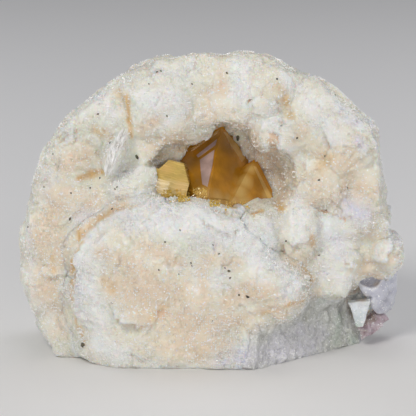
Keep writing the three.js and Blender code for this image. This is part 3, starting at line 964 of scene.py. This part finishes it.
# Corners of the lilac bands of painted reflection, then of the paler steps of painted light.
PAINTED_REFLECTION_PLATES = [
    [(214.5, 150), (212.5, 165), (207.5, 187), (202.5, 184.5), (201, 171), (200, 160)],
    [(217, 139.5), (215.5, 145), (198, 157.5), (196.5, 155.5)],
]
PAINTED_LIGHT_STEPS = [
    [(219, 130), (217.5, 133), (191.5, 151), (190.5, 149)],
    [(223.5, 132), (226.5, 132.5), (236, 144), (245, 158), (242, 162), (232, 147)],
    [(253, 166), (256, 167), (273, 200), (269, 201)],
]
crystal_tree = solid_trees["powellite_main"]


def plates(name, outlines):
    bm = bmesh.new()
    for corners in outlines:
        hits = [crystal_tree.ray_cast(*ray_of(*corner)) for corner in corners]
        hits = [(place, normal) for place, normal, _, _ in hits if place is not None]
        facing = sum((normal for _, normal in hits), Vector()).normalized()
        middle = sum((place for place, _ in hits), Vector()) / len(hits)
        flat = [place - facing * (place - middle).dot(facing) for place, _ in hits]
        face = bm.faces.new([bm.verts.new(place - facing * PLATE) for place in flat])
        made = bmesh.ops.extrude_face_region(bm, geom=[face])
        top = [item for item in made["geom"] if isinstance(item, bmesh.types.BMVert)]
        bmesh.ops.translate(bm, verts=top, vec=facing * 3 * PLATE)
    bmesh.ops.recalc_face_normals(bm, faces=bm.faces)
    return measured(made_from(bm, name))


lilac_plates = plates("lilac_plates", PAINTED_REFLECTION_PLATES)
step_plates = plates("step_plates", PAINTED_LIGHT_STEPS)
# Painted reflection on the lilac bands, painted light on the paler steps.
painted_reflection_look = powellite_look("lilac plate", (0.60, 0.42, 0.38), (0.95, 0.8, 0.6), 5.0, 0.0, 0.16)
painted_light_step_look = powellite_look("pale step", (0.72, 0.42, 0.12), (0.95, 0.8, 0.4), 10.0, 0.1, 0.12)
dress(lilac_plates, painted_reflection_look)
dress(step_plates, painted_light_step_look)

# %% [markdown]
# ### Pale crystal materials
#
# One function serves the four pale pieces. Each has its own body colour, the colour of
# its streaks, the depth of its grain and, on the shell and the blades, a pearly coat.

# %% Pale crystal materials
TINT_APOPHYLLITE_GREEN = (0.50, 0.60, 0.50)


def pale_look(name, body, streak, stretch, bumpy, pearl=0.0):
    material, tree, shader = new_material(name)
    place = object_coordinates(tree)
    drawn = tree.nodes.new("ShaderNodeMapping")
    drawn.inputs["Scale"].default_value = stretch
    tree.links.new(place, drawn.inputs["Vector"])
    streaks = noise_texture(tree, drawn.outputs["Vector"], 420.0, 4.0)
    grains = placed(tree, druse, Scale=1500.0)
    tree.links.new(place, grains.inputs["Vector"])
    clouds = maths(tree, "SUBTRACT", noise_texture(tree, place, 500.0, 5.0, 0.7), 0.5)
    colour = ramp(tree, streaks, (0.38, body), (0.66, streak))
    # Painted light: the crests are lightened towards white.
    crest = maths(tree, "MULTIPLY", attribute(tree, "hollow"), -0.5, clamp=True)
    colour = mixed(tree, crest, colour, TINT_WHITE)
    for zone, tint in (("peach", TINT_PEACH), ("lilac", TINT_LILAC), ("green", TINT_APOPHYLLITE_GREEN),
                       ("brown", TINT_BROWN)):
        share = maths(tree, "MULTIPLY", blotched(tree, zone, clouds, 0.1, 1.0), 0.75)
        colour = mixed(tree, share, colour, tint)
    flakes = noise_texture(tree, place, FLAKE_SCALE, 3.0, 0.7)
    flakes = ramp(tree, flakes, (0.58, (0, 0, 0)), (0.68, (1, 1, 1)))
    colour = mixed(tree, maths(tree, "MULTIPLY", flakes, 0.5), colour, TINT_WHITE)
    # Painted glints: the brightest druse cells get a white base colour.
    colour = mixed(tree, grains.outputs["Glint"], colour, PAINTED_GLINT_WHITE)
    tree.links.new(colour, shader.inputs["Base Color"])
    bump = tree.nodes.new("ShaderNodeBump")
    set_values(bump, Strength=1.0, Distance=bumpy)
    height = maths(tree, "ADD", grains.outputs["Height"], maths(tree, "MULTIPLY", streaks, 0.4))
    tree.links.new(height, bump.inputs["Height"])
    tree.links.new(bump.outputs["Normal"], shader.inputs["Normal"])
    set_values(shader, Roughness=0.28, IOR=1.54, Subsurface_Weight=0.5, Subsurface_Scale=0.5 * MM,
               Subsurface_Radius=(2.6, 2.6, 2.2), Coat_Weight=pearl, Coat_Roughness=0.2)
    return material


UPRIGHT = (1.0, 1.0, 0.2)
EVEN = (1.0, 1.0, 1.0)
block_look = pale_look("milky apophyllite", (0.60, 0.60, 0.55), (0.78, 0.79, 0.76), UPRIGHT, 0.5 * MM)
chip_look = pale_look("white apophyllite", (0.68, 0.74, 0.78), (0.84, 0.87, 0.90), EVEN, 0.2 * MM)
shell_look = pale_look("pearly lilac", (0.54, 0.54, 0.62), (0.70, 0.71, 0.80), EVEN, 0.2 * MM, 0.5)
blade_look = pale_look("pink", (0.50, 0.36, 0.40), (0.78, 0.66, 0.72), EVEN, 0.3 * MM, 0.2)
for piece, look in ((block, block_look), (chip, chip_look), (shell, shell_look), (blades, blade_look)):
    dress(piece, look)
print("pale materials:", 4)

# %% [markdown]
# ## Loose druse crystals
#
# The stilbite sparkles because thousands of tiny blades stand on it at all angles. Each
# is a four-sided double cone of eight faces. Some flat flakes lie along the surface, and
# a sheaf of long white blades stands beside the pocket. They are made in batches,
# because an operator slows down as the mesh that it works on grows.

# %% Scatter druse crystals
DRUSE_COUNT = 8000
DRUSE_SIZE = (0.11 * MM, 0.3 * MM)
DRUSE_SHAPE = (1.0, 0.65, 1.0)
FLAKE_COUNT = 420
FLAKE_SIZE = (0.12 * MM, 0.3 * MM)
FLAKE_SHAPE = (0.9, 0.3, 2.4)
STREAK = [(108, 172), (114, 152), (124, 133)]
STREAK_COUNT = 150
STREAK_SIZE = (0.25 * MM, 0.6 * MM)
STREAK_SHAPE = (0.45, 0.2, 2.4)
STREAK_SPREAD = 4
FLAKE_LEAN = 0.25
STREAK_LEAN = 0.35
SWIRL = 7 * MM
BATCH = 200
ABOVE_FOOT = 0.6 * MM
PATCH = 6 * MM
SINK = 0.2


def surface_points(piece, count, rng):
    """Random places on the rough front of a piece, with their normals, thick in patches."""
    polygons = [p for p in piece.data.polygons if p.center.z > ABOVE_FOOT and p.normal.y < 0.15]
    weights = [p.area * max(0.05, noise.noise(p.center / PATCH) + 0.25) for p in polygons]
    return [(p.center.copy(), p.normal.copy()) for p in rng.choices(polygons, weights, k=count)]


def joined_batches(name, batches):
    """Join the meshes of many batches into one object."""
    bm = bmesh.new()
    for mesh in batches:
        bm.from_mesh(mesh)
        bpy.data.meshes.remove(mesh)
    return made_from(bm, name)


def crystals_on(points, name, sizes, rng, shape=DRUSE_SHAPE, lean=0.7):
    """Double cones on points, each along its point's axis give or take the lean."""
    batches = []
    for start in range(0, len(points), BATCH):
        bm = bmesh.new()
        for place, axis in points[start:start + BATCH]:
            size = rng.uniform(*sizes)
            tilt = Vector([rng.uniform(-lean, lean) for _ in range(3)])
            stand = (axis.normalized() + tilt).normalized().to_track_quat("Z", "Y").to_matrix().to_4x4()
            turn = Matrix.Rotation(rng.uniform(0, math.tau), 4, "Z")
            spot = Matrix.Translation(place + axis.normalized() * SINK * size)
            bmesh.ops.create_uvsphere(bm, u_segments=4, v_segments=2, radius=size,
                                      matrix=spot @ stand @ turn @ Matrix.Diagonal((*shape, 1.0)))
        for vert in bm.verts:
            kept_inside(vert.co)
        mesh = bpy.data.meshes.new("batch")
        bm.to_mesh(mesh)
        bm.free()
        batches.append(mesh)
    return measured(joined_batches(name, batches))


def flat_points(points):
    """The same places, each with an axis along the surface that follows a slow swirl."""
    return [(place, normal.cross(noise.noise_vector(place / SWIRL))) for place, normal in points]


rng = random.Random(SEED)
druse_on_matrix = crystals_on(surface_points(matrix, DRUSE_COUNT, rng), "druse_on_matrix", DRUSE_SIZE, rng)
druse_on_dome = crystals_on(surface_points(dome, DRUSE_COUNT // 2, rng), "druse_on_dome", DRUSE_SIZE, rng)
flakes_on_matrix = crystals_on(flat_points(surface_points(matrix, FLAKE_COUNT, rng)), "flakes_on_matrix",
                               FLAKE_SIZE, rng, FLAKE_SHAPE, FLAKE_LEAN)
flakes_on_dome = crystals_on(flat_points(surface_points(dome, FLAKE_COUNT // 2, rng)), "flakes_on_dome",
                             FLAKE_SIZE, rng, FLAKE_SHAPE, FLAKE_LEAN)
streak = []
for _ in range(STREAK_COUNT):
    low, high = rng.choice(list(zip(STREAK, STREAK[1:])))
    share = rng.random()
    px = low[0] + share * (high[0] - low[0]) + rng.uniform(-STREAK_SPREAD, STREAK_SPREAD)
    hit = seen_at(px, low[1] + share * (high[1] - low[1]))
    if hit and hit[0] == matrix.name:
        way = ray_of(*high)[1] - ray_of(*low)[1]
        streak.append((hit[1] + 0.2 * MM * hit[2], way + 0.3 * way.length * hit[2]))
white_blades = crystals_on(streak, "white_blades", STREAK_SIZE, rng, STREAK_SHAPE, STREAK_LEAN)
DRUSE_CREAM = (0.86, 0.84, 0.80)
DRUSE_WHITE = (0.96, 0.96, 0.96)
material, tree, shader = new_material("druse crystal")
pale = noise_texture(tree, object_coordinates(tree), 700.0)
colour = ramp(tree, pale, (0.35, DRUSE_CREAM), (0.65, DRUSE_WHITE))
tree.links.new(colour, shader.inputs["Base Color"])
set_values(shader, Roughness=0.12, IOR=1.5)
for piece in (druse_on_matrix, druse_on_dome, flakes_on_matrix, flakes_on_dome, white_blades):
    dress(piece, material)

# %% [markdown]
# ## Yellow grains at the powellite's foot
#
# Where the powellite meets the stilbite, small yellow crystals crowd together. They are
# scattered inside a few round patches of the picture, on whatever solid lies there.

# %% Yellow grains
YELLOW_PATCHES = [(200, 193, 7), (231, 206, 6), (172, 196, 9), (215, 203, 5), (245, 205, 5), (184, 197, 6)]
YELLOW_COUNT = 70
YELLOW_SIZE = (0.14 * MM, 0.34 * MM)
spots = []
for px, py, spread in YELLOW_PATCHES:
    for _ in range(YELLOW_COUNT):
        start, way = ray_of(px + rng.uniform(-spread, spread), py + rng.uniform(-spread, spread) * 0.7)
        place, normal, _, _ = whole_tree.ray_cast(start, way)
        if place is not None:
            spots.append((place, normal))
yellow_grains = crystals_on(spots, "yellow_grains", YELLOW_SIZE, rng)
yellow_look = powellite_look("yellow grain", (0.95, 0.66, 0.14), (0.95, 0.8, 0.4), 10.0, 0.1, 0.12)
dress(yellow_grains, yellow_look)

# %% [markdown]
# ## Dark grains
#
# Small dark olive grains of other minerals sit on the stilbite. Their places are read
# off the picture, and each line of sight gives the point on the stone. The bigger ones
# have a size of their own.

# %% Dark grains
GRAIN = 0.28 * MM
SPECKS = [
    (98, 114), (157, 72), (161, 71), (149, 84), (192, 84), (167, 116), (100, 178), (90, 188),
    (115, 189), (117, 187), (71, 193), (44, 187), (53, 154), (110, 143), (112, 209), (227, 73),
    (277, 79), (297, 138), (325, 156), (319, 180), (347, 188), (326, 210), (251, 100), (335, 95),
    (28, 227), (180, 230), (213, 245), (219, 254), (191, 263), (192, 266), (179, 274),
    (159, 270), (112, 303), (213, 321), (165, 242), (225, 268), (230, 278), (239, 295), (247, 296),
    (260, 239), (286, 241), (319, 255), (310, 280),
]
BIG_SPECKS = [
    (137, 157, 2.0), (238, 138, 2.6), (70, 219, 1.6), (83, 345, 2.4), (248, 297, 1.6), (229, 271, 1.5),
]


def dark_grains():
    bm = bmesh.new()
    marks = [(px, py, 1.0) for px, py in SPECKS] + BIG_SPECKS
    for px, py, share in marks:
        hit = seen_at(px, py)
        if not hit:
            continue
        _, place, normal = hit
        size = GRAIN * share * rng.uniform(0.8, 1.15)
        stand = normal.to_track_quat("Z", "Y").to_matrix().to_4x4()
        turn = Matrix.Rotation(rng.uniform(0, math.tau), 4, "Z")
        shape = Matrix.Diagonal((1.0, rng.uniform(0.5, 0.8), 0.6, 1.0))
        bmesh.ops.create_icosphere(bm, subdivisions=1, radius=size,
                                   matrix=Matrix.Translation(place) @ stand @ turn @ shape)
    for vert in bm.verts:
        vert.co += noise.noise_vector(vert.co / (0.3 * MM)) * 0.05 * MM
    return measured(made_from(bm, "dark_grains"))


grains = dark_grains()
material, tree, shader = new_material("dark grain")
place = object_coordinates(tree)
OLIVE_DARK = (0.03, 0.03, 0.02)
OLIVE_PALE = (0.14, 0.12, 0.07)
colour = ramp(tree, noise_texture(tree, place, 900.0), (0.35, OLIVE_DARK), (0.7, OLIVE_PALE))
tree.links.new(colour, shader.inputs["Base Color"])
set_values(shader, Roughness=0.45)
dress(grains, material)

# %% [markdown]
# ## What each piece stands for
#
# Every piece rides on the one body, and the fixed solid that a piece took over is hidden.

# %% Tie the pieces to the fixed model
STANDS_FOR = [
    (matrix, "stilbite_matrix", "stilbite"), (dome, "front_dome", "dome"),
    (powellite, "powellite_main", "amber"), (side_group, "powellite_left", "gold"),
    (block, "apophyllite_block", "greenish"), (chip, "apophyllite_chip", "snow"),
    (shell, "pearly_shell", "pearl"), (blades, "pink_blades", "pink"),
]
for piece, node, slot in STANDS_FOR:
    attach(piece, "root")
    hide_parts(node)
LOOSE = [
    (druse_on_matrix, "stilbite"), (druse_on_dome, "dome"), (grains, "stilbite"),
    (flakes_on_matrix, "stilbite"), (flakes_on_dome, "dome"), (white_blades, "stilbite"),
    (yellow_grains, "gold"), (lilac_plates, "amber"), (step_plates, "amber"),
]
for piece, slot in LOOSE:
    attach(piece, "root")
print("pieces:", len(STANDS_FOR) + len(LOOSE))

# %% [markdown]
# ## Floor and light
#
# A pale floor and six soft lamps stand for a photographer's table. The light comes
# mostly from the upper front, which opens the pocket.

# %% Floor
bm = bmesh.new()
bmesh.ops.create_grid(bm, x_segments=1, y_segments=1, size=3.0)
floor = made_from(bm, "floor")
floor_look, tree, shader = new_material("pale floor")
set_values(shader, Base_Color=(0.80, 0.79, 0.78, 1.0), Roughness=0.8)
dress(floor, floor_look)

# %% Lamps
LAMPS = [
    ("key", (-0.28, -0.55, 0.62), 0.24, 2.7, (1.0, 0.985, 0.95)),
    ("fill", (0.5, -0.6, 0.3), 0.4, 0.9, (0.97, 0.98, 1.0)),
    ("front", (0.02, -0.9, 0.16), 0.2, 1.4, (1.0, 0.98, 0.96)),
    ("top", (0.05, 0.15, 0.75), 0.5, 1.1, (1.0, 1.0, 1.0)),
    ("rim left", (-0.6, 0.3, 0.2), 0.3, 0.9, (0.85, 0.9, 1.0)),
    ("rim right", (0.6, 0.3, 0.25), 0.3, 0.9, (0.85, 0.88, 1.0)),
]
LAMP_AIM = Vector((0, 0, 0.03))
for name, place, size, power, colour in LAMPS:
    data = bpy.data.lights.new(name, "AREA")
    data.shape = "SQUARE"
    data.size = size
    data.energy = power
    data.color = colour
    thing = shown(name, data)
    thing.location = place
    thing.rotation_euler = (LAMP_AIM - Vector(place)).to_track_quat("-Z", "Y").to_euler()
world = bpy.data.worlds.new("studio")
bpy.context.scene.world = world
world.use_nodes = True
set_values(world.node_tree.nodes["Background"], Color=(0.95, 0.96, 1.0, 1.0), Strength=0.2)
